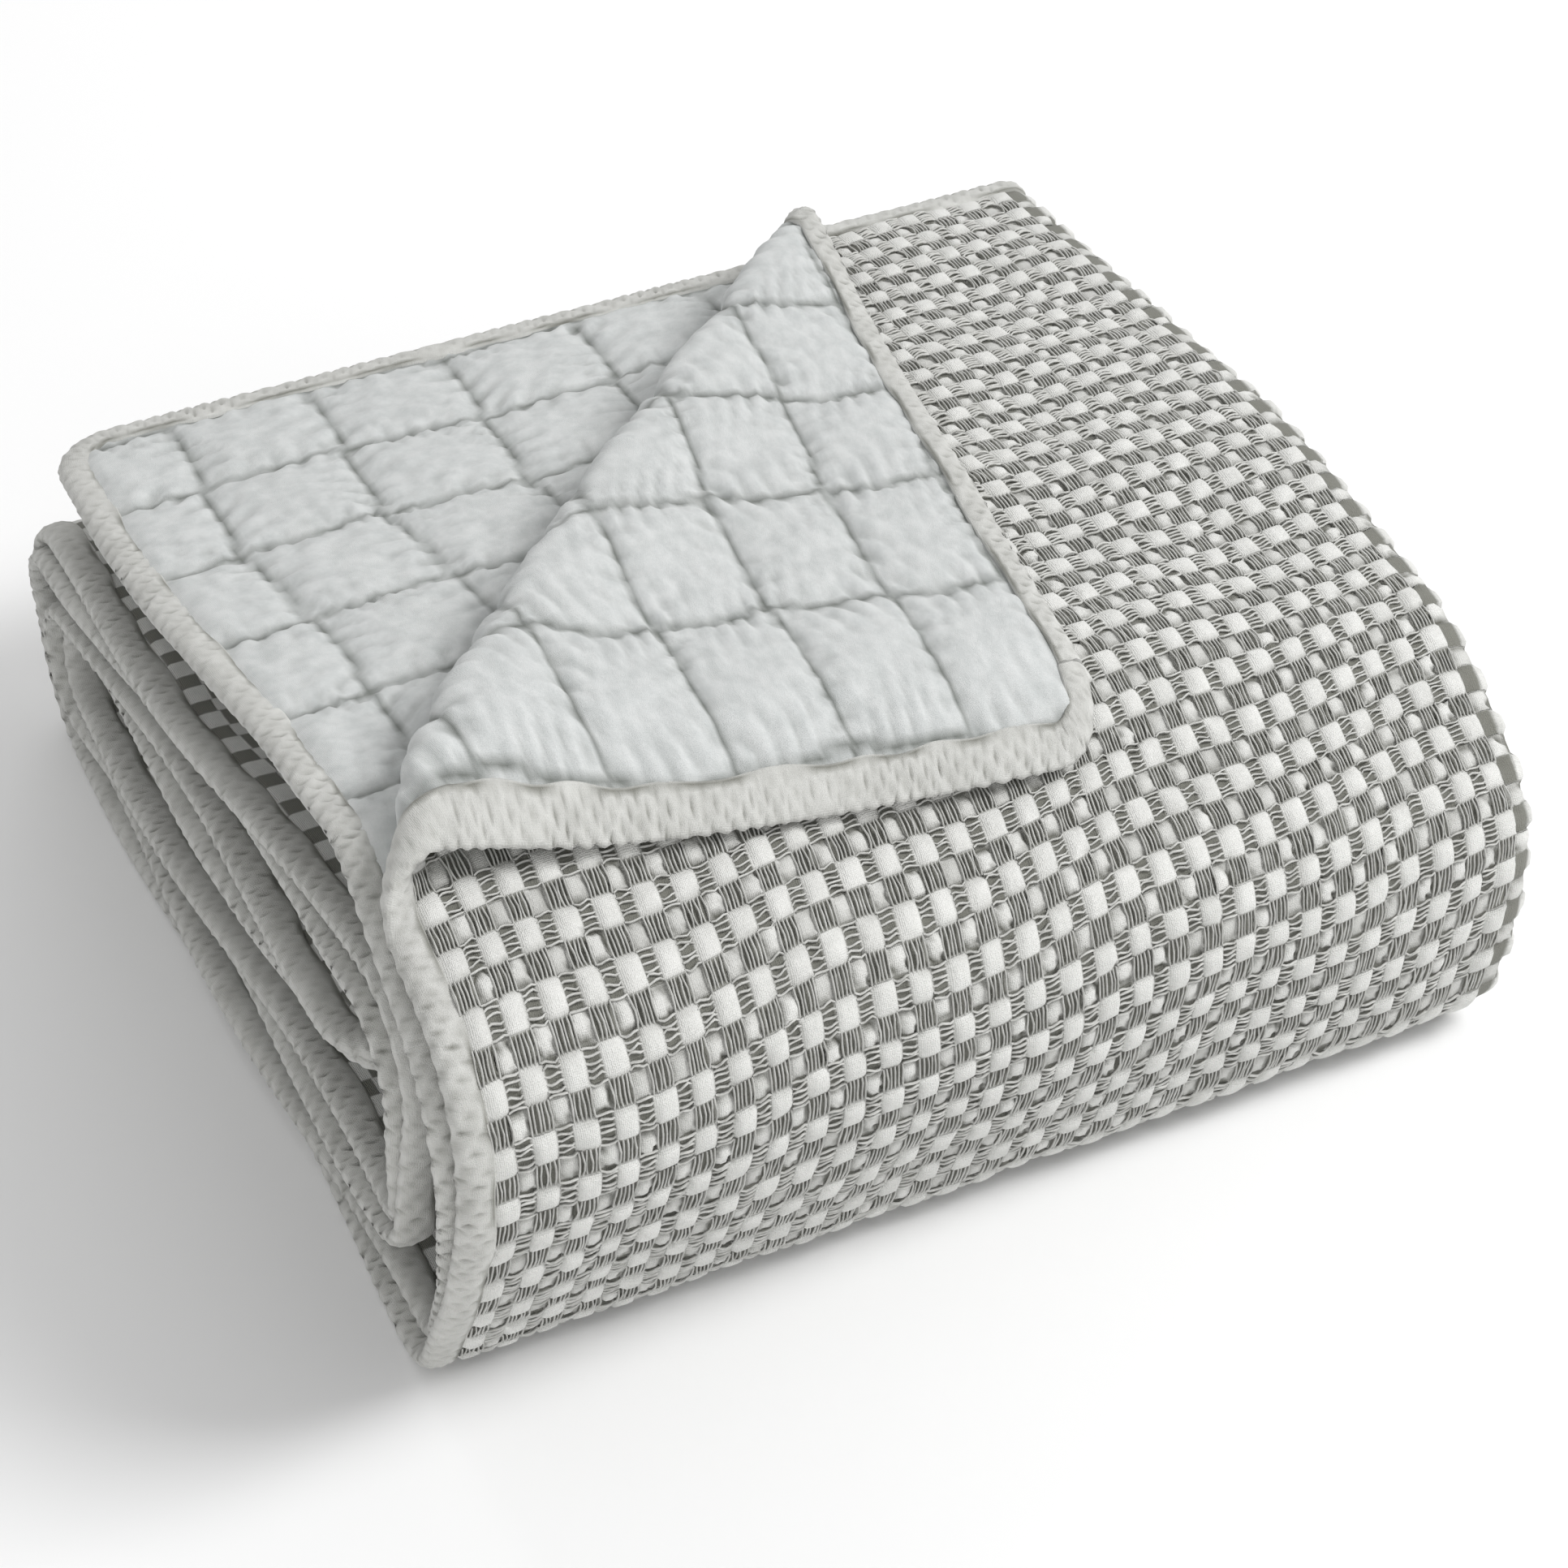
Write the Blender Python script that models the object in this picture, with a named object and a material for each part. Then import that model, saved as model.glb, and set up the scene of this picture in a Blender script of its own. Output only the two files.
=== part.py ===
"""A quilted throw, folded in half across its width and then wrapped over itself.

The open check cloth is outside, the plain reverse shows on the corner that is turned back.
Metres, +Z up, X along the front of the pile, the front towards -Y.
The quilt is made flat: v runs across it, u along it from the outer end, n up to its face.
The function folded then carries every point to its place in the pile.
"""
import math

import bmesh
import bpy
import numpy as np

# The quilt, in metres. A layer is half of its width.
LAYER_WIDE = 0.445          # from the left edge to the fold at the right
FOLD_HALF = 0.0041          # from the middle of the folded pair to the middle of a layer
FACE_LOW = 0.00015          # the open check cloth with its half of the filling
FACE_HIGH = 0.0039
BACK_LOW = -0.0036          # the plain reverse with its half of the filling
BACK_HIGH = -0.00015

# The binding, a strip folded over the edge all round.
BIND_WIDE = 0.014
BIND_HIGH = 0.0038
BIND_LOW = -0.0036
CORNER_RADIUS = 0.030
GAP = 0.0010

# Quilting squares, pressed in where they show.
SQUARE = 0.060
SQUARE_V0 = 0.014
SQUARE_U0 = 0.014
STITCH_DEPTH = 0.0013
QUILT_U_END = 0.60          # past the front of the pile
QUILT_U_BELOW = 0.43        # on the lower layer, under the turned corner

# The corner that is turned back over the top.
CREASE_U = 0.390            # where the crease meets the left edge
CREASE_V = 0.365            # where it meets the outer end
CREASE_RADIUS = 0.0105
FLAP_HEIGHT = 0.0098        # middle of the flap above the middle of the layer under it
FLAP_SETTLE = 0.075         # length over which the rounded crease comes down to that
FLAP_CORNER = (0.283, 0.412)  # v and u over which the turned corner comes to lie

FLAP_SAG = 0.004            # how far its lower edge hangs out of straight

# Left and right ends of the pile.
LEFT_X = -0.2125
LEFT_FLARE = 0.032          # the left end runs outward towards the back, per metre
LEFT_UNEVEN = 0.0035
TOP_TUCK = 0.011            # how far the outer end lies in from the rest
RIGHT_X = 0.213
RIGHT_BULGE = 0.020
BULGE_Z = 0.090

# Corners of the line midway between the two layers, from the outer end inward.
# Columns: y left, z left, y right, z right, bend radius left, bend radius right
PATH = (
    (0.243, 0.1320, 0.264, 0.1210, 0.000, 0.000),    # outer end, over the back
    (0.020, 0.1790, 0.020, 0.1490, 0.300, 0.300),
    (-0.125, 0.2110, -0.105, 0.1390, 0.045, 0.100),  # front edge of the top
    (-0.207, 0.1720, -0.157, 0.1060, 0.060, 0.070),
    (-0.219, 0.1250, -0.170, 0.0830, 0.100, 0.100),  # fullest part of the front
    (-0.205, 0.0680, -0.176, 0.0550, 0.120, 0.120),
    (-0.176, 0.0083, -0.176, 0.0083, 0.022, 0.022),  # front edge of the underside
    (0.245, 0.0083, 0.245, 0.0083, 0.040, 0.040),
    (0.245, 0.0920, 0.245, 0.0900, 0.040, 0.040),    # outer turn at the back
    (-0.178, 0.1630, -0.125, 0.1100, 0.030, 0.030),  # inner turn over the front
    (-0.158, 0.0500, -0.140, 0.0300, 0.020, 0.020),
    (0.215, 0.0280, 0.215, 0.0280, 0.020, 0.020),
    (0.215, 0.0700, 0.215, 0.0700, 0.020, 0.020),    # inner turn at the back
    (-0.135, 0.1050, -0.105, 0.0800, 0.000, 0.000),  # inner end
)
SECTIONS = 13
ARC_STEPS = 24
FRONT_END = 1 + 5 * (ARC_STEPS + 1)   # where the front meets the bend under it
PATH_STEP = 0.002

# How finely the cloths are divided.
FINE_STEP = 0.030           # where quilting shows, half a square
LONG_STEP = 0.150
TURN_ANGLE = math.radians(30)
FOLD_STEPS = 6              # round the fold at the right
CREASE_STEPS = 9            # round the turned crease

FACE_COLOUR = (0.66, 0.655, 0.63, 1.0)
BACK_COLOUR = (0.66, 0.68, 0.69, 1.0)
BINDING_COLOUR = (0.62, 0.61, 0.58, 1.0)


def rounded_line(corners, radii):
    """Points along a line of straight runs joined by arcs."""
    line = [corners[0]]
    for i in range(1, len(corners) - 1):
        into = corners[i] - corners[i - 1]
        away = corners[i + 1] - corners[i]
        room = 0.49 * min(np.linalg.norm(into), np.linalg.norm(away))
        into = into / np.linalg.norm(into)
        away = away / np.linalg.norm(away)
        turn = math.acos(float(np.clip(into @ away, -1, 1)))
        back = min(radii[i] * math.tan(turn / 2), room)
        radius = back / math.tan(turn / 2)
        side = away - into * (into @ away)
        side = side / np.linalg.norm(side)
        start = corners[i] - back * into
        for a in np.linspace(0, turn, ARC_STEPS + 1):
            line.append(start + radius * (math.sin(a) * into + (1 - math.cos(a)) * side))
    line.append(corners[-1])
    return np.array(line)


def make_path():
    """The wrapped line at each section across the pile, and its outward direction.

    Past the front all sections share one length scale, so that every bend comes at the
    same u right across. Over the top and down the front the cloth is evenly spread.
    """
    rows = np.array(PATH)
    lines = []
    for s in np.linspace(0, 1, SECTIONS):
        corners = (1 - s) * rows[:, 0:2] + s * rows[:, 2:4]
        radii = (1 - s) * rows[:, 4] + s * rows[:, 5]
        lines.append(rounded_line(corners, radii))
    lines = np.array(lines)
    steps = np.linalg.norm(np.diff(lines, axis=1), axis=2).mean(axis=0)
    run = np.concatenate([[0], np.cumsum(steps)])
    u = np.arange(0, run[-1], PATH_STEP)
    points = []
    for line in lines:
        own = np.cumsum(np.linalg.norm(np.diff(line[:FRONT_END + 1], axis=0), axis=1))
        own = np.concatenate([[0], own]) * run[FRONT_END] / own[-1]
        share = np.concatenate([own, run[FRONT_END + 1:]])
        points.append(np.stack([np.interp(u, share, line[:, k]) for k in (0, 1)], axis=1))
    points = np.array(points)
    along = np.gradient(points, axis=1)
    along = along / np.linalg.norm(along, axis=2, keepdims=True)
    out = np.stack([along[:, :, 1], -along[:, :, 0]], axis=2)
    return points, out


POINTS, OUTWARD = make_path()
LENGTH = PATH_STEP * (POINTS.shape[1] - 1)
FOLD_RUN = math.pi * FOLD_HALF
FLAT_WIDE = 2 * LAYER_WIDE + FOLD_RUN
CREASE_FAR = 1 / math.hypot(1 / CREASE_U, 1 / CREASE_V)
CREASE_OUT = (-CREASE_FAR / CREASE_V, -CREASE_FAR / CREASE_U)   # in v, u towards the corner


def on_path(s, u):
    """Place and outward direction at fraction s across and length u along the wrapped line."""
    i = np.clip(s, 0, 1) * (SECTIONS - 1)
    j = np.clip(u / PATH_STEP, 0, POINTS.shape[1] - 1)
    i0 = np.minimum(i.astype(int), SECTIONS - 2)
    j0 = np.minimum(j.astype(int), POINTS.shape[1] - 2)
    a, b = (i - i0)[:, None], (j - j0)[:, None]
    both = []
    for table in (POINTS, OUTWARD):
        both.append((1 - a) * ((1 - b) * table[i0, j0] + b * table[i0, j0 + 1])
                    + a * ((1 - b) * table[i0 + 1, j0] + b * table[i0 + 1, j0 + 1]))
    return both[0], both[1] / np.linalg.norm(both[1], axis=1, keepdims=True)


def folded(v, u, n):
    """Where points of the flat quilt lie in the pile."""
    v, u, n = (np.array(k, dtype=float) for k in (v, u, n))
    past = (v - CREASE_V) * CREASE_OUT[0] + u * CREASE_OUT[1]
    past = np.where(v < LAYER_WIDE, past, -1.0)
    d = np.maximum(past, 0.0)
    turn = np.minimum(d / CREASE_RADIUS, math.pi)
    rest = np.maximum(d - math.pi * CREASE_RADIUS, 0.0)
    whole = CREASE_FAR - math.pi * CREASE_RADIUS
    run = (CREASE_RADIUS - n) * np.sin(turn) - rest - d
    settle = 1 - np.exp(-(rest / FLAP_SETTLE * 2) ** 2)
    height = CREASE_RADIUS - (CREASE_RADIUS - n) * np.cos(turn)
    height = height + (FLAP_HEIGHT - 2 * CREASE_RADIUS) * settle
    corner_v = -CREASE_OUT[0] * (CREASE_FAR + whole)
    corner_u = -CREASE_OUT[1] * (CREASE_FAR + whole)
    pull = rest / whole
    turned = past > 0
    v2 = np.where(turned, v + run * CREASE_OUT[0] + pull * (FLAP_CORNER[0] - corner_v), v)
    sag = 4 * FLAP_SAG * pull * (1 - pull) * np.clip(1 - v / 0.2, 0, 1)
    u2 = np.where(turned, u + run * CREASE_OUT[1] + pull * (FLAP_CORNER[1] - corner_u) + sag, u)
    n2 = np.where(turned, height, n)
    bend = np.clip((v2 - LAYER_WIDE) / FOLD_HALF, 0, math.pi)
    far = v2 > LAYER_WIDE + FOLD_RUN
    across = np.where(far, FLAT_WIDE - v2, np.minimum(v2, LAYER_WIDE)) / LAYER_WIDE
    off = (FOLD_HALF + n2) * np.cos(bend)
    place, out = on_path(across, u2)
    y = place[:, 0] + off * out[:, 0]
    z = place[:, 1] + off * out[:, 1]
    uneven = LEFT_UNEVEN * np.sin(19 * u2 + np.where(far, 2.4, 0.3))
    tuck = TOP_TUCK * np.clip(1 - u2 / 0.30, 0, 1)
    left = LEFT_X - LEFT_FLARE * (place[:, 0] + 0.17) + uneven + tuck
    right = RIGHT_X + RIGHT_BULGE * np.minimum(place[:, 1] / BULGE_Z, 1) ** 0.7
    x = left + (right - left) * across + (FOLD_HALF + n2) * np.sin(bend)
    return np.stack([x, y, z], axis=1)


def pressed(v, u):
    """How far quilting presses the cloth in: the full depth on a stitch line, none mid-square."""
    line_v = np.abs(((v - SQUARE_V0) / SQUARE + 0.5) % 1 - 0.5) * 2
    line_u = np.abs(((u - SQUARE_U0) / SQUARE + 0.5) % 1 - 0.5) * 2
    shown = np.where(v < LAYER_WIDE - 0.02, u < QUILT_U_END, u < QUILT_U_BELOW)
    shown = shown & ((v < LAYER_WIDE - 0.02) | (v > LAYER_WIDE + 0.05))
    return np.where(shown, STITCH_DEPTH * (1 - np.minimum(line_v, line_u)), 0.0)


def stations():
    """Places along the strip, closer where it turns and where quilting shows."""
    places = [0.0]
    heading = [np.unwrap(np.arctan2(OUTWARD[k, :, 1], OUTWARD[k, :, 0])) for k in (0, SECTIONS - 1)]
    last = 0
    for j in range(1, POINTS.shape[1] - 1):
        u = j * PATH_STEP
        turned = max(abs(h[j] - h[last]) for h in heading) >= TURN_ANGLE
        on_grid = u < QUILT_U_END and abs((u - SQUARE_U0) / FINE_STEP % 1) < PATH_STEP / FINE_STEP
        if turned or on_grid or u - places[-1] >= LONG_STEP:
            places.append(SQUARE_U0 + FINE_STEP * round((u - SQUARE_U0) / FINE_STEP) if on_grid else u)
            last = j
    places = [u for i, u in enumerate(places) if i == 0 or u - places[i - 1] > 0.006]
    if LENGTH - places[-1] < 0.03:
        places.pop()
    return places + [LENGTH]


STATIONS = stations()


def columns(step):
    """Places across the flat quilt: two layers at the given step, and the fold between them."""
    count = round((LAYER_WIDE - SQUARE_V0) / step)
    layer = [SQUARE_V0 + (LAYER_WIDE - SQUARE_V0) * k / count for k in range(count + 1)]
    if step == FINE_STEP:
        layer = [SQUARE_V0 + step * k for k in range(count)] + [LAYER_WIDE]
    fold = [LAYER_WIDE + FOLD_RUN * k / FOLD_STEPS for k in range(1, FOLD_STEPS)]
    return layer + fold + [FLAT_WIDE - v for v in reversed(layer)]


def cut(bm, point, across, faces, clear=False):
    """Cuts the given faces along a straight line of the flat quilt."""
    edges = {e for f in faces for e in f.edges}
    verts = {v for f in faces for v in f.verts}
    bmesh.ops.bisect_plane(bm, geom=list(verts) + list(edges) + list(faces), dist=1e-5,
                           plane_co=(point[0], point[1], 0), plane_no=(across[0], across[1], 0),
                           clear_outer=clear)


def flat_sheet():
    """The flat quilt inside its binding, cut up where it will be folded."""
    bm = bmesh.new()
    v0, v1 = BIND_WIDE, FLAT_WIDE - BIND_WIDE
    u0, u1 = BIND_WIDE, LENGTH - BIND_WIDE
    bm.faces.new([bm.verts.new((v, u, 0)) for v, u in ((v0, u0), (v1, u0), (v1, u1), (v0, u1))])
    for u in STATIONS:
        if u0 + 0.004 < u < u1 - 0.004:
            cut(bm, (0, u), (0, 1), list(bm.faces))
    wide = columns(LONG_STEP)
    for v in wide:
        if v0 + 0.004 < v < v1 - 0.004:
            cut(bm, (v, 0), (1, 0), list(bm.faces))
    for v in columns(FINE_STEP):
        if v0 + 0.004 < v < v1 - 0.004 and min(abs(v - w) for w in wide) > 0.004:
            reach = QUILT_U_END if v < LAYER_WIDE else QUILT_U_BELOW
            near = [f for f in bm.faces if f.calc_center_median().y < reach]
            cut(bm, (v, 0), (1, 0), near)
    radius = CORNER_RADIUS - BIND_WIDE
    for v, side in ((v0, 1), (v1, -1)):
        for u, end in ((u0, 1), (u1, -1)):
            middle = (v + side * radius, u + end * radius)
            for k in range(3):
                a = math.radians(15 + 30 * k)
                out = (-side * math.cos(a), -end * math.sin(a))
                reach = radius * math.cos(math.radians(15))
                point = (middle[0] + out[0] * reach, middle[1] + out[1] * reach)
                cut(bm, point, out, list(bm.faces), clear=True)
    for k in range(CREASE_STEPS + 1):
        far = math.pi * CREASE_RADIUS * k / CREASE_STEPS
        near = [f for f in bm.faces if f.calc_center_median().x < LAYER_WIDE]
        cut(bm, (CREASE_V + CREASE_OUT[0] * far, CREASE_OUT[1] * far), CREASE_OUT, near)
    bmesh.ops.remove_doubles(bm, verts=bm.verts, dist=0.0006)
    bmesh.ops.dissolve_degenerate(bm, edges=bm.edges, dist=0.0002)
    bmesh.ops.triangulate(bm, faces=bm.faces, quad_method="SHORT_EDGE")
    return bm


def finish(bm, name, material):
    bmesh.ops.recalc_face_normals(bm, faces=bm.faces)
    if bm.calc_volume(signed=True) < 0:
        bmesh.ops.reverse_faces(bm, faces=bm.faces)
    mesh = bpy.data.meshes.new(name)
    bm.to_mesh(mesh)
    bm.free()
    mesh.materials.append(material)
    mesh.shade_smooth()
    piece = bpy.data.objects.new(name, mesh)
    bpy.context.scene.collection.objects.link(piece)
    return piece


def cloth(name, low, high, pressed_side, material):
    """One side of the quilt, from height low to height high, its quilting on one side."""
    bm = flat_sheet()
    raised = bmesh.ops.extrude_face_region(bm, geom=list(bm.faces), use_keep_orig=True)
    top = {v for v in raised["geom"] if isinstance(v, bmesh.types.BMVert)}
    verts = list(bm.verts)
    flat = np.array([(v.co.x, v.co.y) for v in verts])
    n = np.array([high if v in top else low for v in verts])
    depth = pressed(flat[:, 0], flat[:, 1])
    outer = high if pressed_side > 0 else low
    n = np.where(n == outer, n - pressed_side * depth, n)
    for v, spot in zip(verts, folded(flat[:, 0], flat[:, 1], n)):
        v.co = spot
    return finish(bm, name, material)


def edge_line():
    """Points round the quilt's edge with the direction outward there, its corners rounded."""
    r = CORNER_RADIUS
    crease = [math.pi * CREASE_RADIUS * k / CREASE_STEPS for k in range(CREASE_STEPS + 1)]
    inner_v = (BIND_WIDE - CREASE_V) * CREASE_OUT[0]
    inner_u = BIND_WIDE * CREASE_OUT[1]
    rows = sorted(list(STATIONS) + [(far - inner_v) / CREASE_OUT[1] for far in crease])
    across = sorted(columns(FINE_STEP) + [CREASE_V + (far - inner_u) / CREASE_OUT[0] for far in crease])
    rows = [u for i, u in enumerate(rows) if r + 0.004 < u < LENGTH - r - 0.004]
    rows = [u for i, u in enumerate(rows) if i == 0 or u - rows[i - 1] > 0.0008]
    across = [v for v in across if r + 0.004 < v < FLAT_WIDE - r - 0.004]
    across = [v for i, v in enumerate(across) if i == 0 or v - across[i - 1] > 0.0008]
    line = []
    for v, u, start in ((r, r, 180), (FLAT_WIDE - r, r, 270),
                        (FLAT_WIDE - r, LENGTH - r, 0), (r, LENGTH - r, 90)):
        for k in range(7):
            a = math.radians(start + 15 * k)
            line.append((v + r * math.cos(a), u + r * math.sin(a), math.cos(a), math.sin(a)))
        if start == 180:
            line.extend((k, 0.0, 0.0, -1.0) for k in across)
        if start == 270:
            line.extend((FLAT_WIDE, k, 1.0, 0.0) for k in rows)
        if start == 0:
            line.extend((k, LENGTH, 0.0, 1.0) for k in reversed(across))
        if start == 90:
            line.extend((0.0, k, -1.0, 0.0) for k in reversed(rows))
    return line


def binding(material):
    """The strip round the edge, a closed ring of one flat rounded section."""
    wide = BIND_WIDE - GAP
    section = ((-wide, BIND_HIGH * 0.82), (-wide * 0.55, BIND_HIGH), (-wide * 0.15, BIND_HIGH * 0.7),
               (0.0, 0.0), (-wide * 0.15, BIND_LOW * 0.7), (-wide * 0.55, BIND_LOW),
               (-wide, BIND_LOW * 0.82))
    line = edge_line()
    v = np.array([[p[0] + e * p[2] for e, n in section] for p in line]).ravel()
    u = np.array([[p[1] + e * p[3] for e, n in section] for p in line]).ravel()
    n = np.array([[n for e, n in section] for p in line]).ravel()
    bm = bmesh.new()
    verts = [bm.verts.new(spot) for spot in folded(v, u, n)]
    size = len(section)
    for i in range(len(line)):
        j = (i + 1) % len(line)
        for k in range(size):
            m = (k + 1) % size
            bm.faces.new((verts[i * size + k], verts[i * size + m], verts[j * size + m], verts[j * size + k]))
    bmesh.ops.triangulate(bm, faces=bm.faces)
    return finish(bm, "binding", material)


def material(name, colour):
    made = bpy.data.materials.new(name)
    made.use_nodes = True
    shader = made.node_tree.nodes["Principled BSDF"]
    shader.inputs["Base Color"].default_value = colour
    shader.inputs["Roughness"].default_value = 0.9
    shader.inputs["Metallic"].default_value = 0.0
    return made


for old in list(bpy.data.objects):
    bpy.data.objects.remove(old)

pieces = [
    cloth("face_panel", FACE_LOW, FACE_HIGH, 1, material("check_cloth", FACE_COLOUR)),
    cloth("backing_panel", BACK_LOW, BACK_HIGH, -1, material("plain_cloth", BACK_COLOUR)),
    binding(material("binding_cloth", BINDING_COLOUR)),
]
spots = np.array([v.co[:] for piece in pieces for v in piece.data.vertices])
low, high = spots.min(axis=0), spots.max(axis=0)
shift = np.array([(low[0] + high[0]) / 2, (low[1] + high[1]) / 2, low[2]])
for piece in pieces:
    for vertex in piece.data.vertices:
        vertex.co = np.array(vertex.co) - shift
print("length", round(LENGTH, 4), "shift", [round(float(k), 5) for k in shift], "size", (high - low).round(4))
for piece in pieces:
    print(piece.name, "triangles", len(piece.data.polygons))
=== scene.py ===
"""The quilted throw as it looks: open check cloth, plain quilted reverse and puckered binding."""

import math

import bmesh
import bpy
import numpy as np
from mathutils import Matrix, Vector


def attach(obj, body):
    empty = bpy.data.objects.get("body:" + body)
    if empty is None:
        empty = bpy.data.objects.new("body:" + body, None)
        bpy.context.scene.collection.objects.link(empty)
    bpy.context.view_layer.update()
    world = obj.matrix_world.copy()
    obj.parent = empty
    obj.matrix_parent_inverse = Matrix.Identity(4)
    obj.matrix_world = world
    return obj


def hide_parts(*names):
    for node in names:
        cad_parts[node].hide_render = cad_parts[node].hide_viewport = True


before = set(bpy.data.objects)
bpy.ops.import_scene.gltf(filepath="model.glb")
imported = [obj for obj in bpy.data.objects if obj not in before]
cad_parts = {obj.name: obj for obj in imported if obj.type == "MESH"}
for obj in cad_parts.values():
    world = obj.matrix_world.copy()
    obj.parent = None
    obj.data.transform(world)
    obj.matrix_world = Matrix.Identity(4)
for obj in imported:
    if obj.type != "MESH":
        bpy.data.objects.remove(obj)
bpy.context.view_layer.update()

# The check cloth: an open cotton weave on the outside of the quilt, with half of the filling
# behind it and its edges sewn into the binding. It is folded in half across, reverse inside,
# and wrapped over itself into the pile, with one corner turned back.

# The fold. Each cloth is laid out flat, v across the quilt, u along it and n up to its face,
# and folded() carries its points into the pile. Sizes are in metres.
LAYER_WIDE, FOLD_HALF = 0.445, 0.0041
CREASE_U, CREASE_V, CREASE_RADIUS = 0.390, 0.365, 0.0105
FLAP_HEIGHT, FLAP_SETTLE, FLAP_CORNER = 0.0098, 0.075, (0.283, 0.412)
FLAP_SAG, FLAP_SAG_REACH = 0.004, 0.2
LEFT_X, LEFT_FLARE, LEFT_FLARE_Y = -0.2125, 0.032, -0.17
RIGHT_X, RIGHT_BULGE, RIGHT_BULGE_HEIGHT = 0.213, 0.020, 0.090
TOP_TUCK, TOP_TUCK_RUN, EDGE_WANDER = 0.011, 0.30, 0.0035
PILE_CENTRE = (0.00637, 0.02064, 0.0003)
SECTIONS, PATH_STEP, BEND_STEPS = 13, 0.002, 25
FRONT_END = 126  # the last point of the outer turn down the front, where all sections meet
# Columns: y left, z left, y right, z right, bend radius left, bend radius right
PATH = (
    (0.243, 0.1320, 0.264, 0.1210, 0.000, 0.000),
    (0.020, 0.1790, 0.020, 0.1490, 0.300, 0.300),
    (-0.125, 0.2110, -0.105, 0.1390, 0.045, 0.100),
    (-0.207, 0.1720, -0.157, 0.1060, 0.060, 0.070),
    (-0.219, 0.1250, -0.170, 0.0830, 0.100, 0.100),
    (-0.205, 0.0680, -0.176, 0.0550, 0.120, 0.120),
    (-0.176, 0.0083, -0.176, 0.0083, 0.022, 0.022),
    (0.245, 0.0083, 0.245, 0.0083, 0.040, 0.040),
    (0.245, 0.0920, 0.245, 0.0900, 0.040, 0.040),
    (-0.178, 0.1630, -0.125, 0.1100, 0.030, 0.030),
    (-0.158, 0.0500, -0.140, 0.0300, 0.020, 0.020),
    (0.215, 0.0280, 0.215, 0.0280, 0.020, 0.020),
    (0.215, 0.0700, 0.215, 0.0700, 0.020, 0.020),
    (-0.135, 0.1050, -0.105, 0.0800, 0.000, 0.000),
)


def rounded_line(corners, radii):
    """The line through the corners, each rounded by its radius."""
    line = [corners[0]]
    for i in range(1, len(corners) - 1):
        into = corners[i] - corners[i - 1]
        away = corners[i + 1] - corners[i]
        room = 0.49 * min(np.linalg.norm(into), np.linalg.norm(away))
        into = into / np.linalg.norm(into)
        away = away / np.linalg.norm(away)
        turn = math.acos(float(np.clip(into @ away, -1, 1)))
        back = min(radii[i] * math.tan(turn / 2), room)
        radius = back / math.tan(turn / 2)
        side = away - into * (into @ away)
        side = side / np.linalg.norm(side)
        start = corners[i] - back * into
        for a in np.linspace(0, turn, BEND_STEPS):
            line.append(start + radius * (math.sin(a) * into + (1 - math.cos(a)) * side))
    line.append(corners[-1])
    return np.array(line)


def make_path():
    """Points of the middle of the doubled quilt and their outward directions, by section and u."""
    rows = np.array(PATH)
    lines = []
    for s in np.linspace(0, 1, SECTIONS):
        corners = (1 - s) * rows[:, 0:2] + s * rows[:, 2:4]
        lines.append(rounded_line(corners, (1 - s) * rows[:, 4] + s * rows[:, 5]))
    lines = np.array(lines)
    steps = np.linalg.norm(np.diff(lines, axis=1), axis=2).mean(axis=0)
    run = np.concatenate([[0], np.cumsum(steps)])
    u = np.arange(0, run[-1], PATH_STEP)
    points = []
    for line in lines:
        own = np.cumsum(np.linalg.norm(np.diff(line[:FRONT_END + 1], axis=0), axis=1))
        own = np.concatenate([[0], own]) * run[FRONT_END] / own[-1]
        share = np.concatenate([own, run[FRONT_END + 1:]])
        points.append(np.stack([np.interp(u, share, line[:, k]) for k in (0, 1)], axis=1))
    points = np.array(points)
    along = np.gradient(points, axis=1)
    along = along / np.linalg.norm(along, axis=2, keepdims=True)
    for _ in range(3):
        along[:, 1:-1] = (along[:, :-2] + 2 * along[:, 1:-1] + along[:, 2:]) / 4
    along = along / np.linalg.norm(along, axis=2, keepdims=True)
    return points, np.stack([along[:, :, 1], -along[:, :, 0]], axis=2)


POINTS, OUTWARD = make_path()
LENGTH = PATH_STEP * (POINTS.shape[1] - 1)
FOLD_RUN = math.pi * FOLD_HALF
FLAT_WIDE = 2 * LAYER_WIDE + FOLD_RUN
CREASE_FAR = 1 / math.hypot(1 / CREASE_U, 1 / CREASE_V)
CREASE_OUT = (-CREASE_FAR / CREASE_V, -CREASE_FAR / CREASE_U)


def on_path(s, u):
    """Place and outward direction at s, 0 left to 1 right, and u along the quilt."""
    i = np.clip(s, 0, 1) * (SECTIONS - 1)
    j = np.clip(u / PATH_STEP, 0, POINTS.shape[1] - 1)
    i0 = np.minimum(i.astype(int), SECTIONS - 2)
    j0 = np.minimum(j.astype(int), POINTS.shape[1] - 2)
    a, b = (i - i0)[:, None], (j - j0)[:, None]
    both = []
    for table in (POINTS, OUTWARD):
        both.append((1 - a) * ((1 - b) * table[i0, j0] + b * table[i0, j0 + 1])
                    + a * ((1 - b) * table[i0 + 1, j0] + b * table[i0 + 1, j0 + 1]))
    return both[0], both[1] / np.linalg.norm(both[1], axis=1, keepdims=True)


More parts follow.
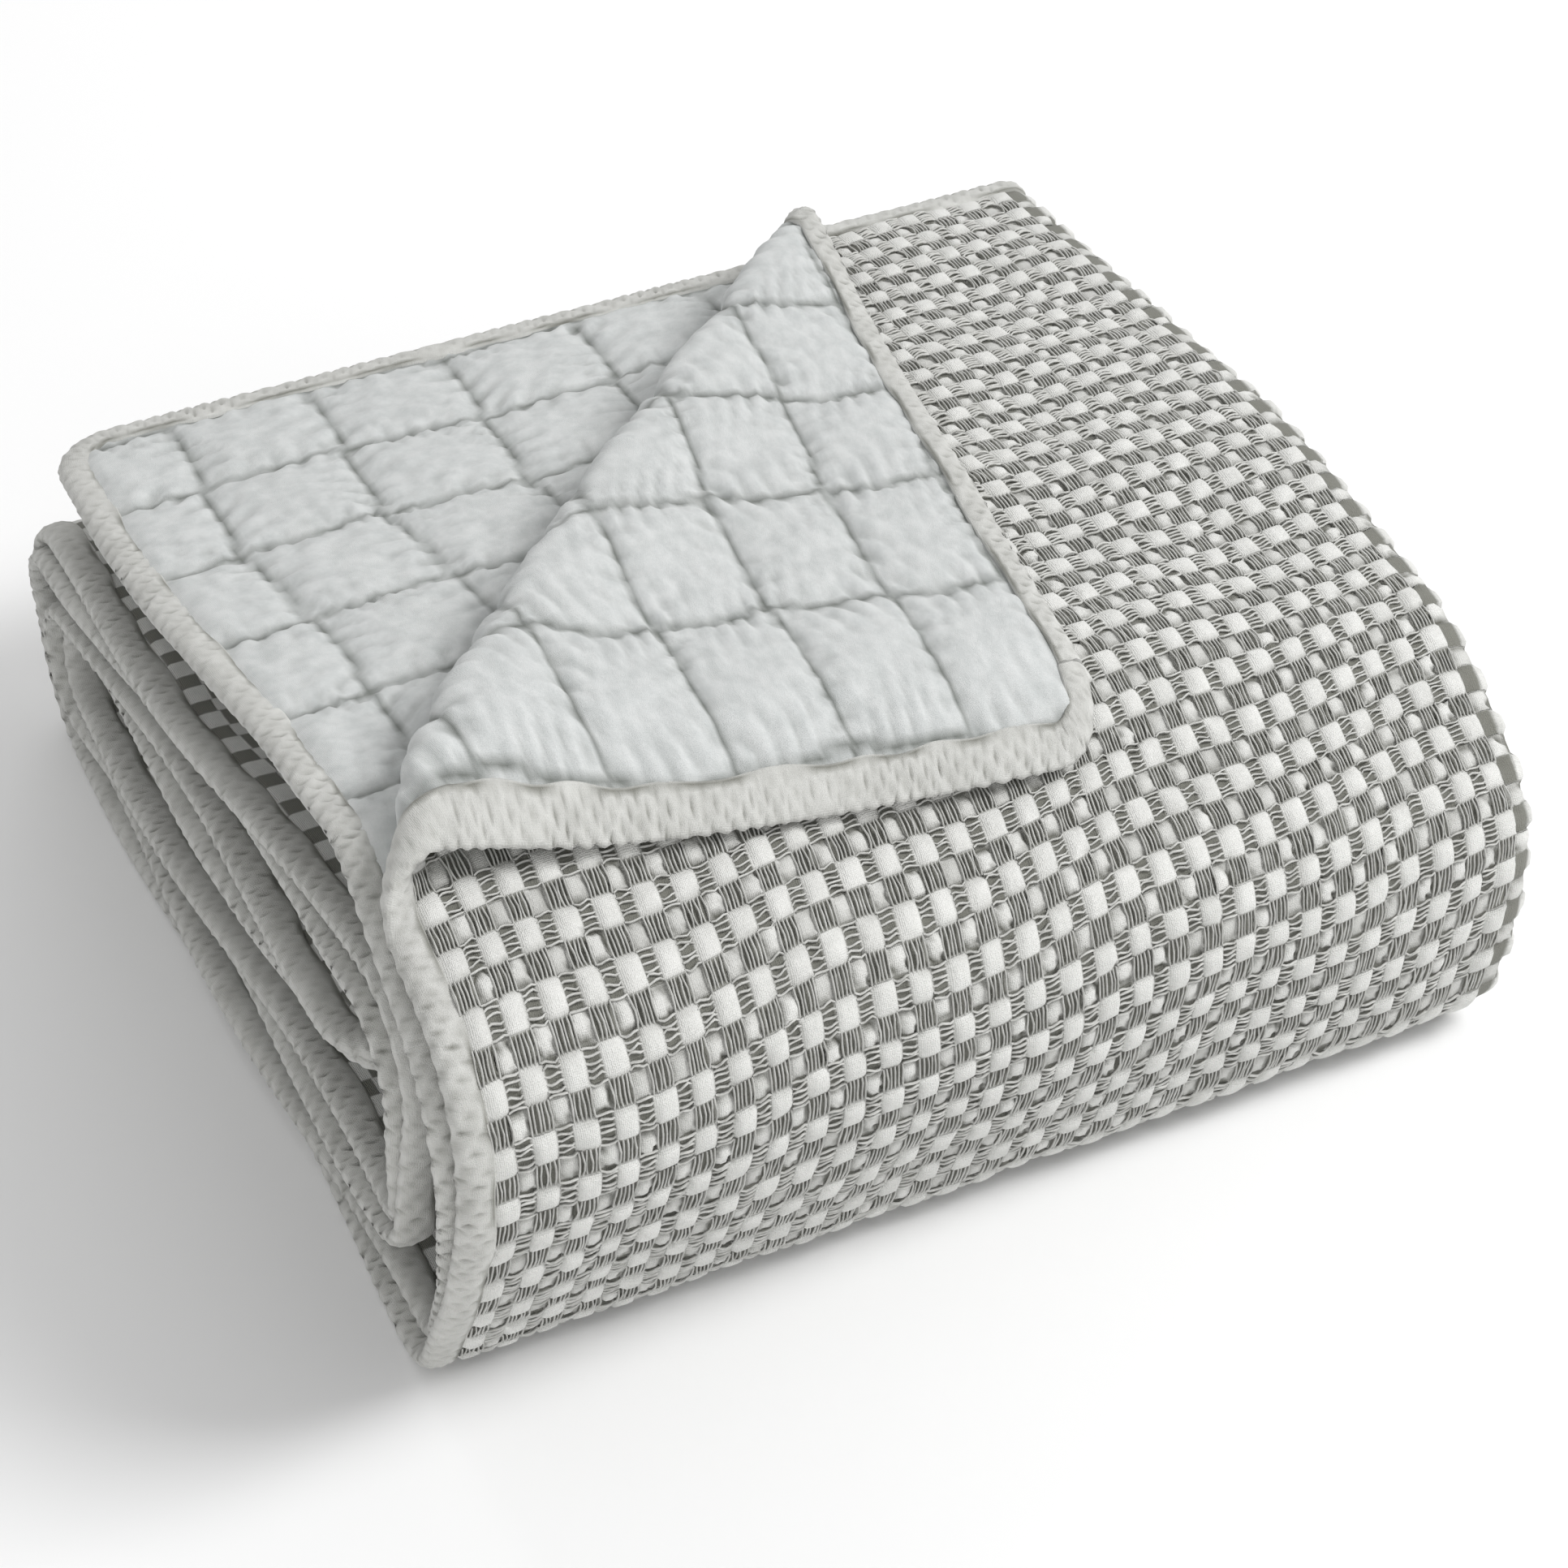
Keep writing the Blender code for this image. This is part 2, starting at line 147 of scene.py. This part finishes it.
def folded(v, u, n):
    """Where points of the flat quilt lie in the pile."""
    # The corner turned back over the crease, which settles onto the cloth under it
    past = np.where(v < LAYER_WIDE, (v - CREASE_V) * CREASE_OUT[0] + u * CREASE_OUT[1], -1.0)
    d = np.maximum(past, 0.0)
    turn = np.minimum(d / CREASE_RADIUS, math.pi)
    rest = np.maximum(d - math.pi * CREASE_RADIUS, 0.0)
    whole = CREASE_FAR - math.pi * CREASE_RADIUS
    run = (CREASE_RADIUS - n) * np.sin(turn) - rest - d
    settle = 1 - np.exp(-(rest / FLAP_SETTLE * 2) ** 2)
    height = CREASE_RADIUS - (CREASE_RADIUS - n) * np.cos(turn)
    height = height + (FLAP_HEIGHT - 2 * CREASE_RADIUS) * settle
    corner_v = -CREASE_OUT[0] * (CREASE_FAR + whole)
    corner_u = -CREASE_OUT[1] * (CREASE_FAR + whole)
    pull = rest / whole
    turned = past > 0
    v2 = np.where(turned, v + run * CREASE_OUT[0] + pull * (FLAP_CORNER[0] - corner_v), v)
    sag = 4 * FLAP_SAG * pull * (1 - pull) * np.clip(1 - v / FLAP_SAG_REACH, 0, 1)
    u2 = np.where(turned, u + run * CREASE_OUT[1] + pull * (FLAP_CORNER[1] - corner_u) + sag, u)
    n2 = np.where(turned, height, n)
    # The fold at the right, with the far half of the width lying inside the near half
    bend = np.clip((v2 - LAYER_WIDE) / FOLD_HALF, 0, math.pi)
    far = v2 > LAYER_WIDE + FOLD_RUN
    across = np.where(far, FLAT_WIDE - v2, np.minimum(v2, LAYER_WIDE)) / LAYER_WIDE
    off = (FOLD_HALF + n2) * np.cos(bend)
    place, out = on_path(across, u2)
    y = place[:, 0] + off * out[:, 0]
    z = np.maximum(place[:, 1] + off * out[:, 1], PILE_CENTRE[2])
    uneven = EDGE_WANDER * np.sin(19 * u2 + np.where(far, 2.4, 0.3))
    tuck = TOP_TUCK * np.clip(1 - u2 / TOP_TUCK_RUN, 0, 1)
    left = LEFT_X - LEFT_FLARE * (place[:, 0] - LEFT_FLARE_Y) + uneven + tuck
    right = RIGHT_X + RIGHT_BULGE * np.minimum(place[:, 1] / RIGHT_BULGE_HEIGHT, 1) ** 0.7
    x = left + (right - left) * across + (FOLD_HALF + n2) * np.sin(bend)
    return np.stack([x, y, z], axis=1) - PILE_CENTRE


def laid_out(columns, rows):
    """The flat grid of a cloth: its v and u, and how far it has come out from under the binding."""
    v, u = (k.ravel() for k in np.meshgrid(columns, rows))
    edge = np.minimum(np.minimum(v, FLAT_WIDE - v), np.minimum(u, LENGTH - u))
    return v, u, np.clip((edge - BOUND_EDGE) / 0.003, 0, 1)


def sheet_mesh(name, columns, rows, reverse=False):
    """A grid with one point for each column of each row."""
    grid = bmesh.new()
    bmesh.ops.create_grid(grid, x_segments=len(columns) - 1, y_segments=len(rows) - 1, size=1)
    if reverse:
        bmesh.ops.reverse_faces(grid, faces=grid.faces)
    mesh = bpy.data.meshes.new(name)
    grid.to_mesh(mesh)
    grid.free()
    return mesh


def dressed(name, mesh, spots, v, u, material, hollow_shade=None):
    """The mesh with its points put in place, the flat cloth kept as its UV map."""
    mesh.vertices.foreach_set("co", spots.astype(np.float32).ravel())
    flat = np.stack([v, u], axis=1).astype(np.float32)
    loops = np.empty(len(mesh.loops), dtype=np.int32)
    mesh.loops.foreach_get("vertex_index", loops)
    mesh.uv_layers.new(name="cloth").data.foreach_set("uv", flat[loops].ravel())
    # Painted shade: a mask of the cloth's hollows and creases, kept as an attribute that darkens
    # the colour
    if hollow_shade is not None:
        depth = mesh.attributes.new("hollow_shade", "FLOAT", "POINT")
        depth.data.foreach_set("value", hollow_shade.astype(np.float32))
    mesh.materials.append(material)
    mesh.shade_smooth()
    mesh.update()
    piece = bpy.data.objects.new(name, mesh)
    bpy.context.scene.collection.objects.link(piece)
    return piece


def node(tree, kind, inputs, **settings):
    """A shader node with its settings made and its inputs filled or linked."""
    new = tree.nodes.new("ShaderNode" + kind)
    for key, value in settings.items():
        setattr(new, key, value)
    for key, value in inputs.items():
        if isinstance(value, bpy.types.NodeSocket):
            tree.links.new(value, new.inputs[key])
        else:
            new.inputs[key].default_value = value
    return new


# The finish that all the cloths share: a fine plain weave as grain, and a faded mottle.
weave = bpy.data.node_groups.new("plain weave", "ShaderNodeTree")
density = weave.interface.new_socket("Threads per metre", in_out="INPUT",
                                     socket_type="NodeSocketFloat")
density.default_value = 1500
for output in ("Grain", "Mottle"):
    weave.interface.new_socket(output, in_out="OUTPUT", socket_type="NodeSocketFloat")
ins, outs = weave.nodes.new("NodeGroupInput"), weave.nodes.new("NodeGroupOutput")
cloth_map = node(weave, "UVMap", {}, uv_map="cloth")
thread = node(weave, "VectorMath", {}, operation="SCALE")
weave.links.new(cloth_map.outputs[0], thread.inputs[0])
weave.links.new(ins.outputs["Threads per metre"], thread.inputs["Scale"])
grain = node(weave, "TexVoronoi", {"Vector": thread.outputs[0], "Scale": 1.0, "Randomness": 0.35})
mottle = node(weave, "TexNoise", {"Vector": thread.outputs[0], "Scale": 0.05, "Detail": 6,
                                  "Roughness": 0.65})
weave.links.new(grain.outputs["Distance"], outs.inputs["Grain"])
weave.links.new(mottle.outputs[0], outs.inputs["Mottle"])


def cloth_finish(material, low, high, threads_per_metre, depth, shade=None):
    """Mottled colour between low and high, darkened towards the painted shade colour by the hollow
    shade mask, with the weave's bump.
    """
    material.use_nodes = True
    tree = material.node_tree
    shader = tree.nodes["Principled BSDF"]
    for key, value in (("Roughness", 0.92), ("Specular IOR Level", 0.15),
                       ("Sheen Weight", 0.12), ("Sheen Roughness", 0.6)):
        shader.inputs[key].default_value = value
    group = tree.nodes.new("ShaderNodeGroup")
    group.node_tree = weave
    group.inputs[0].default_value = threads_per_metre
    stretch = node(tree, "MapRange", {"Value": group.outputs["Mottle"], "From Min": 0.35,
                                      "From Max": 0.62})
    colour = node(tree, "Mix", {"A": (*low, 1), "B": (*high, 1), "Factor": stretch.outputs[0]},
                  data_type="RGBA").outputs["Result"]
    # Painted shade: the colour is multiplied towards shade where the hollow shade mask is high
    if shade is not None:
        hollow_shade = node(tree, "Attribute", {}, attribute_name="hollow_shade")
        colour = node(tree, "Mix", {"A": colour, "B": (*shade, 1), "Factor": hollow_shade.outputs["Fac"]},
                      data_type="RGBA", blend_type="MULTIPLY").outputs["Result"]
    bump = node(tree, "Bump", {"Height": group.outputs["Grain"], "Strength": 1.0,
                               "Distance": depth}, invert=True)
    tree.links.new(colour, shader.inputs["Base Color"])
    tree.links.new(bump.outputs[0], shader.inputs["Normal"])
    return tree, shader, colour, bump


# One check has a plain square, a sunk square on its diagonal, and loose threads between them,
# along the rows beside the squares and up below them.
CHECK_V, CHECK_U = 0.0150, 0.0198
V0, U0 = 0.0175, 0.0190
FACE_OUT = 0.0036  # height of the outside over the middle of one ply
CLOTH_END, BOUND_EDGE = 0.0100, 0.0125  # where the cloths end under the binding, and come out
CHECKS_ACROSS, CHECKS_ALONG = 80, 140
rng = np.random.default_rng(4)
sunk = rng.uniform(0.3, 1.0, (CHECKS_ACROSS, CHECKS_ALONG))
sunk_v = rng.uniform(-0.08, 0.08, (CHECKS_ACROSS, CHECKS_ALONG))
sunk_u = rng.uniform(-0.08, 0.08, (CHECKS_ACROSS, CHECKS_ALONG))
swell = rng.uniform(0.6, 1.25, (CHECKS_ACROSS, CHECKS_ALONG))


def cell(v, u):
    """Which check, and how far from its plain square's middle, in checks."""
    a, b = (v - V0) / CHECK_V, (u - U0) / CHECK_U
    i, j = np.round(a).astype(int), np.round(b).astype(int)
    return a - i, b - j, i % CHECKS_ACROSS, j % CHECKS_ALONG


def sway(v, u):
    """Slow drift of the rows, as the loose cloth hangs uneven."""
    return (v + 0.0011 * np.sin(61 * u + 1.3 * np.sin(23 * v)),
            u + 0.0016 * np.sin(47 * v + 1.1 * np.sin(31 * u)))


def puff(v, u):
    """Wide soft billows of the padded cloth."""
    wide = 0.0006 * np.sin(52 * v + 0.8) * np.sin(49 * u + 0.4)
    return wide + 0.0004 * np.sin(101 * v + 31 * u)


def check_height(v, u):
    """Relief of the weave: cushioned squares, and domes in a deep ring where they are sunk, which
    the painted shade darkens.
    """
    da, db, i, j = cell(v, u)
    pad = np.clip((0.31 - np.abs(da)) / 0.07, 0, 1) * np.clip((0.27 - np.abs(db)) / 0.06, 0, 1)
    cushion = np.clip(1 - (da / 0.33) ** 2, 0, 1) * np.clip(1 - (db / 0.29) ** 2, 0, 1)
    ea, eb, si, sj = cell(v + CHECK_V / 2, u + CHECK_U / 2)
    ea, eb = ea - sunk_v[si, sj], eb - sunk_u[si, sj]
    far = np.hypot(ea / 0.25, eb / 0.235)
    dome = np.clip(1 - far ** 2, 0, 1) ** 0.5
    ring = np.exp(-((far - 1.08) / 0.17) ** 2)
    deep = sunk[si, sj]
    h = -0.0012 + 0.0018 * pad + 0.0007 * cushion * swell[i, j]
    return h + (1 - pad) * (dome * 0.0013 * deep - ring * 0.0016 * deep)


# Fine steps where the cloth shows, and coarse ones on the hidden turns
STEPS_A_CHECK = 7.5
shown_v, shown_u = LAYER_WIDE + 0.016, 0.635
columns = np.concatenate([
    [CLOTH_END, BOUND_EDGE], np.arange(0.0140, shown_v, CHECK_V / STEPS_A_CHECK),
    np.arange(shown_v + 0.004, FLAT_WIDE - 0.012, 0.020), [FLAT_WIDE - CLOTH_END]])
rows = np.concatenate([
    [CLOTH_END, BOUND_EDGE], np.arange(0.0140, shown_u, CHECK_U / STEPS_A_CHECK),
    np.arange(shown_u + 0.005, LENGTH - 0.012, 0.011), [LENGTH - CLOTH_END]])
v, u, out_of_binding = laid_out(columns, rows)
shown = (v < shown_v) & (u < shown_u)
sv, su = sway(v, u)
relief = check_height(sv, su)
height = np.where(shown, relief, -0.0004) + np.where(v < LAYER_WIDE - 0.01, puff(v, u), 0)
n = 0.0024 * (1 - out_of_binding) + out_of_binding * (FACE_OUT + height)
# Painted shade: the check cloth is darkened where it lies low, in the rings round the sunk squares
# and between the squares
hollow_shade = np.where(shown, np.clip((-0.0003 - relief) / 0.0022, 0, 1), 0.0)
check_cloth = bpy.data.materials.new("check cloth")
face = dressed("check_sheet", sheet_mesh("check_sheet", columns, rows), folded(v, u, n), sv, su,
               check_cloth, hollow_shade)
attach(face, "root")
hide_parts("face_panel")

# The check cloth is light on its squares, and painted dark between them, where the loose threads
# run, as the shade in the open weave under the threads.
EDGE_SOFT = 0.03
checks = bpy.data.node_groups.new("checks", "ShaderNodeTree")
for output in ("Square", "Sunk square"):
    checks.interface.new_socket(output, in_out="OUTPUT", socket_type="NodeSocketFloat")
outs = checks.nodes.new("NodeGroupOutput")
cloth_map = node(checks, "UVMap", {}, uv_map="cloth")
for socket, start, reach in (("Square", (0.5, 0.5, 0), (0.32, 0.28)),
                             ("Sunk square", (1.0, 1.0, 0), (0.24, 0.22))):
    last = cloth_map.outputs[0]
    for operation, by in (("SUBTRACT", (V0, U0, 0)), ("DIVIDE", (CHECK_V, CHECK_U, 1)),
                          ("ADD", start), ("FRACTION", None), ("SUBTRACT", (0.5, 0.5, 0)),
                          ("ABSOLUTE", None)):
        values = {0: last} if by is None else {0: last, 1: by}
        last = node(checks, "VectorMath", values, operation=operation).outputs[0]
    parts = node(checks, "SeparateXYZ", {0: last})
    inside = [node(checks, "MapRange", {"Value": parts.outputs[k], "From Min": far + EDGE_SOFT,
                                        "From Max": far - EDGE_SOFT},
                   interpolation_type="SMOOTHSTEP").outputs[0] for k, far in enumerate(reach)]
    both = node(checks, "Math", {0: inside[0], 1: inside[1]}, operation="MULTIPLY")
    checks.links.new(both.outputs[0], outs.inputs[socket])

# The last colour is the painted shade of the check cloth's hollows
tree, shader, colour, fine = cloth_finish(check_cloth, (0.68, 0.68, 0.655), (0.78, 0.78, 0.755),
                                          1500, 0.0005, (0.16, 0.16, 0.135))
group = tree.nodes.new("ShaderNodeGroup")
group.node_tree = checks
light = node(tree, "Math", {0: group.outputs["Square"], 1: group.outputs["Sunk square"]},
             operation="MAXIMUM").outputs[0]
# Painted shade: a near-black colour between the squares, under the loose threads
gap_shade = node(tree, "Mix", {"A": (0.20, 0.20, 0.175, 1), "B": colour, "Factor": light},
           data_type="RGBA")
raised = node(tree, "Bump", {"Height": light, "Distance": 0.0015, "Strength": 0.6})
tree.links.new(gap_shade.outputs["Result"], shader.inputs["Base Color"])
tree.links.new(raised.outputs[0], fine.inputs["Normal"])

# The loose threads: six bare cotton yarns of the open weave beside each square, along the row,
# and six below it, up the cloth. The weave holds them at both ends, and they bow over the gaps.
THREADS_A_GAP, THREAD_POINTS, THREAD_SIDES = 6, 5, 3
ALONG_HALF, ALONG_THICK, UP_HALF, UP_THICK = 0.0034, 0.00056, 0.0050, 0.00050


def ring_faces(start, following, points):
    """Faces between rings of points, from the first point of each and of the one after it."""
    k = np.arange(points)[None, :]
    m = (k + 1) % points
    a, b = start[:, None], following[:, None]
    return np.stack([a + k, a + m, b + m, b + k], axis=2).reshape(-1, 4)


def threads(name, columns, rows, along_v):
    """Short threads that bow over the gaps, as three-sided tubes."""
    ci, cj, ck = (k.ravel() for k in np.meshgrid(columns, rows, np.arange(THREADS_A_GAP)))
    many = len(ci)
    t = np.linspace(-1, 1, THREAD_POINTS)[None, :]
    slot = ((ck + 0.5) / THREADS_A_GAP - 0.5)[:, None]
    wave = rng.uniform(-1, 1, (many, 3))
    arch = 1 - t ** 2
    if along_v:
        base_v, base_u, thick = V0 + (ci + 0.5) * CHECK_V, U0 + cj * CHECK_U, ALONG_THICK
        tv = base_v[:, None] + t * ALONG_HALF
        tu = base_u[:, None] + slot * 0.60 * CHECK_U + 0.0008 * wave[:, :1] * arch
        tu = tu + 0.0006 * wave[:, 1:2] * np.sin(3.2 * t)
    else:
        base_v, base_u, thick = V0 + ci * CHECK_V, U0 + (cj + 0.5) * CHECK_U, UP_THICK
        tu = base_u[:, None] + t * UP_HALF
        tv = base_v[:, None] + slot * 0.62 * CHECK_V + 0.00035 * wave[:, :1] * arch
        tv = tv + 0.00035 * wave[:, 1:2] * np.sin(3.0 * t + 1)
    v2, u2 = 2 * tv - sway(tv, tu)[0], 2 * tu - sway(tv, tu)[1]
    bow = FACE_OUT - 0.0007 + (0.0007 + 0.0005 * wave[:, 2:3]) * arch + puff(v2, u2)
    pv, pu, pn = [], [], []
    for k in range(THREAD_SIDES):
        a = math.radians(90 + 360 / THREAD_SIDES * k)
        side, up = thick * math.cos(a), thick * math.sin(a)
        pv.append(v2 if along_v else v2 + side)
        pu.append(u2 + side if along_v else u2)
        pn.append(bow + up)
    pv, pu, pn = (np.stack(k, axis=2).reshape(-1) for k in (pv, pu, pn))
    ring = np.arange(many * THREAD_POINTS).reshape(many, THREAD_POINTS) * THREAD_SIDES
    faces = ring_faces(ring[:, :-1].ravel(), ring[:, 1:].ravel(), THREAD_SIDES)
    if not along_v:
        faces = faces[:, ::-1]
    spots = folded(pv, pu, pn)
    mesh = bpy.data.meshes.new(name)
    mesh.from_pydata(spots.tolist(), [], faces.tolist())
    piece = dressed(name, mesh, spots, pv, pu, loose_threads)
    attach(piece, "root")
    return piece


loose_threads = bpy.data.materials.new("loose threads")
cloth_finish(loose_threads, (0.47, 0.47, 0.445), (0.66, 0.66, 0.635), 3000, 0.0001)
row_threads = threads("row_threads", range(28), range(31), True)
up_threads = threads("up_threads", range(29), range(30), False)

# The plain reverse: a closely woven cotton on the inside of the quilt, with the other half of
# the filling. It is quilted through in 60 mm squares, which gather the cloth beside each line.
SQUARE, FIRST_LINE, BACK_OUT = 0.060, 0.014, 0.0034
SHOWN_LEFT, SHOWN_FAR, SHOWN_DOWN = 0.385, 0.51, 0.43
columns = np.concatenate([
    [CLOTH_END], np.arange(BOUND_EDGE, SHOWN_LEFT, 0.0025), np.arange(0.395, SHOWN_FAR, 0.015),
    np.arange(SHOWN_FAR, FLAT_WIDE - 0.012, 0.003), [FLAT_WIDE - CLOTH_END]])
rows = np.concatenate([
    [CLOTH_END], np.arange(BOUND_EDGE, 0.430, 0.0025),
    np.arange(0.440, LENGTH - 0.012, 0.014), [LENGTH - CLOTH_END]])
v, u, out_of_binding = laid_out(columns, rows)
wv = v + 0.0022 * np.sin(37 * u) + 0.0010 * np.sin(113 * u + 2)
wu = u + 0.0022 * np.sin(41 * v) + 0.0010 * np.sin(127 * v)
line_v, line_u = (np.abs(((w - FIRST_LINE) / SQUARE + 0.5) % 1 - 0.5) * SQUARE for w in (wv, wu))
stitch = 1 - (1 - np.exp(-(line_v / 0.0055))) * (1 - np.exp(-(line_u / 0.0055)))
across = (0.4 + np.sin(57 * wu + 80 * wv) ** 2) * np.exp(-(line_v / 0.016))
across = across * np.sin(560 * wu + 3.4 * np.sin(88 * wv + 37 * wu))
along = (0.4 + np.sin(61 * wv + 70 * wu) ** 2) * np.exp(-(line_u / 0.012))
along = along * np.sin(590 * wv + 3.4 * np.sin(83 * wu + 41 * wv))
gathers = across + along
soft = 0.0003 * np.sin(140 * v + 60 * u) + 0.00035 * np.sin(310 * v + 2.5 * np.sin(60 * u))
shown = (u < SHOWN_DOWN) & ((v < SHOWN_LEFT) | (v > SHOWN_FAR))
relief = np.where(shown, 0.0042 * (1 - stitch) - 0.0019 + 0.0010 * gathers + soft, 0)
n = -0.0022 * (1 - out_of_binding) - out_of_binding * (BACK_OUT + np.maximum(relief, -0.0018))
# Painted shade along the quilting lines and in the troughs of the gathers
seam_shade = np.exp(-(np.minimum(line_v, line_u) / 0.0016) ** 2)
hollow_shade = np.clip(0.85 * seam_shade + 0.30 * np.maximum(-gathers, 0), 0, 1) * (relief != 0)
plain_cloth = bpy.data.materials.new("plain cloth")
# The last colour is the painted shade of the quilting lines and gathers
cloth_finish(plain_cloth, (0.56, 0.58, 0.575), (0.67, 0.685, 0.68), 2200, 0.0003,
             (0.28, 0.29, 0.27))
backing = dressed("plain_sheet", sheet_mesh("plain_sheet", columns, rows, reverse=True),
                  folded(v, u, n), v, u, plain_cloth, hollow_shade)
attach(backing, "root")
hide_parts("backing_panel")

# The binding: one strip of the plain cotton folded over the edge all round, its corners rounded.
# It is sewn down through the quilt, and the sewing draws it into slanting puckers.
CORNER, BIND_STEP, BIND_EDGE = 0.030, 0.00125, -0.0137
PUCKER, PUCKER_DEPTH = 0.0088, 0.0024
side_v, side_u = FLAT_WIDE - 2 * CORNER, LENGTH - 2 * CORNER
arc = math.pi / 2 * CORNER
marks = np.cumsum([0, side_v, arc, side_u, arc, side_v, arc, side_u, arc])
count = int(marks[-1] / BIND_STEP)
way = np.linspace(0, marks[-1], count, endpoint=False)
leg = np.searchsorted(marks, way, side="right") - 1
t = way - marks[leg]
pv, pu, ov, ou = (np.zeros(count) for _ in range(4))
# Each side's start and direction, and the middle and first angle of the corner after it
far_v, far_u = FLAT_WIDE - CORNER, LENGTH - CORNER
for k, (v0, u0, dv, du, mv, mu, first) in enumerate((
        (CORNER, 0, 1, 0, far_v, CORNER, -90), (FLAT_WIDE, CORNER, 0, 1, far_v, far_u, 0),
        (far_v, LENGTH, -1, 0, CORNER, far_u, 90), (0, far_u, 0, -1, CORNER, CORNER, 180))):
    on = leg == 2 * k
    pv[on], pu[on], ov[on], ou[on] = v0 + dv * t[on], u0 + du * t[on], du, -dv
    on = leg == 2 * k + 1
    a = math.radians(first) + t[on] / CORNER
    ov[on], ou[on] = np.cos(a), np.sin(a)
    pv[on], pu[on] = mv + CORNER * np.cos(a), mu + CORNER * np.sin(a)
# The strip's section: how far out from the quilt's edge, and how high
profile = ((BIND_EDGE, 0.0031), (-0.0129, 0.0037), (-0.0105, 0.0041), (-0.0070, 0.0042),
           (-0.0035, 0.0036), (-0.0010, 0.0022), (0.0, 0.0002), (-0.0010, -0.0020),
           (-0.0035, -0.0034), (-0.0070, -0.0039), (-0.0105, -0.0038), (-0.0129, -0.0035),
           (BIND_EDGE, -0.0030))
e = np.array([p[0] for p in profile])[None, :]
lift = np.array([p[1] for p in profile])[None, :]
slant = way[:, None] + e * 0.95 * np.sign(lift + 1e-9)
drift = 2.2 * np.sin(way * 31)[:, None] + 1.5 * np.sin(way * 83 + 1)[:, None]
pucker = 1 - np.abs(np.sin(math.pi * slant / PUCKER + drift / 2)) ** 0.55
amount = 0.45 + 0.55 * np.abs(np.sin(way * 17 + 0.6))[:, None]
fade = np.clip((e - BIND_EDGE) / 0.004, 0.0, 1)
lift = lift * (1 + 0.14 * fade) - np.sign(lift) * PUCKER_DEPTH * amount * fade * pucker
wander = 0.0006 * np.sin(way * 140 + np.sin(way * 37)) + 0.0004 * np.sin(way * 61)
e = e + np.where(e < -0.0120, wander[:, None],
                 0.0003 * np.sin(2 * math.pi * slant / 0.0078 + drift))
v = (pv[:, None] + e * ov[:, None]).ravel()
u = (pu[:, None] + e * ou[:, None]).ravel()
ring = np.arange(count) * len(profile)
faces = ring_faces(ring, np.roll(ring, -1), len(profile))
spots = folded(v, u, lift.ravel())
mesh = bpy.data.meshes.new("edge_binding")
mesh.from_pydata(spots.tolist(), [], faces.tolist())
binding_cloth = bpy.data.materials.new("binding cloth")
# The last colour is the painted shade of the puckers and the sewing line
cloth_finish(binding_cloth, (0.53, 0.53, 0.505), (0.64, 0.64, 0.615), 1900, 0.0003,
             (0.36, 0.36, 0.33))
# Painted shade in the pucker troughs and along the sewing line
sewing_shade = np.exp(-((e + 0.0125) / 0.0007) ** 2)
hollow_shade = np.clip(pucker ** 2 * amount * fade + sewing_shade, 0, 1).ravel()
binding = dressed("edge_binding", mesh, spots, (way[:, None] + 0 * e).ravel(), e.ravel(),
                  binding_cloth, hollow_shade)
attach(binding, "root")
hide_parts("binding")

# The floor, light and camera. A plain pale floor, a pale sky all round, and three soft lamps,
# with the camera at the photograph's angle.
floor_paint = bpy.data.materials.new("floor")
floor_paint.use_nodes = True
floor_shader = floor_paint.node_tree.nodes["Principled BSDF"]
floor_shader.inputs["Base Color"].default_value = (0.93, 0.93, 0.93, 1)
floor_shader.inputs["Roughness"].default_value = 0.9
bpy.ops.mesh.primitive_plane_add(size=12, location=(0, 0, -0.0002))
floor = bpy.context.object
floor.name = "floor"
floor.data.materials.append(floor_paint)

world = bpy.data.worlds.new("sky")
bpy.context.scene.world = world
world.use_nodes = True
world.node_tree.nodes["Background"].inputs["Color"].default_value = (1, 1, 1, 1)
world.node_tree.nodes["Background"].inputs["Strength"].default_value = 0.52

aim = Vector((0, 0, 0.08))
for name, spot, power, wide in (("key", (1.5, -0.8, 2.0), 46, 1.0),
                                ("fill", (-1.4, -2.2, 1.0), 10, 1.5),
                                ("back", (0.2, 2.2, 1.6), 15, 1.6)):
    data = bpy.data.lights.new(name, "AREA")
    data.energy = power
    data.size = wide
    lamp = bpy.data.objects.new(name, data)
    lamp.location = spot
    lamp.rotation_mode = "QUATERNION"
    lamp.rotation_quaternion = (aim - Vector(spot)).to_track_quat("-Z", "Y")
    bpy.context.scene.collection.objects.link(lamp)

camera_data = bpy.data.cameras.new("camera")
camera_data.lens = 93.2
camera_data.clip_start = 0.05
camera = bpy.data.objects.new("camera", camera_data)
camera.location = (-0.4997, -1.1256, 1.0922)
camera.rotation_euler = (math.radians(90 - 40.4), 0, math.radians(-24.4))
bpy.context.scene.collection.objects.link(camera)
bpy.context.scene.camera = camera
bpy.context.scene.view_settings.view_transform = "Standard"
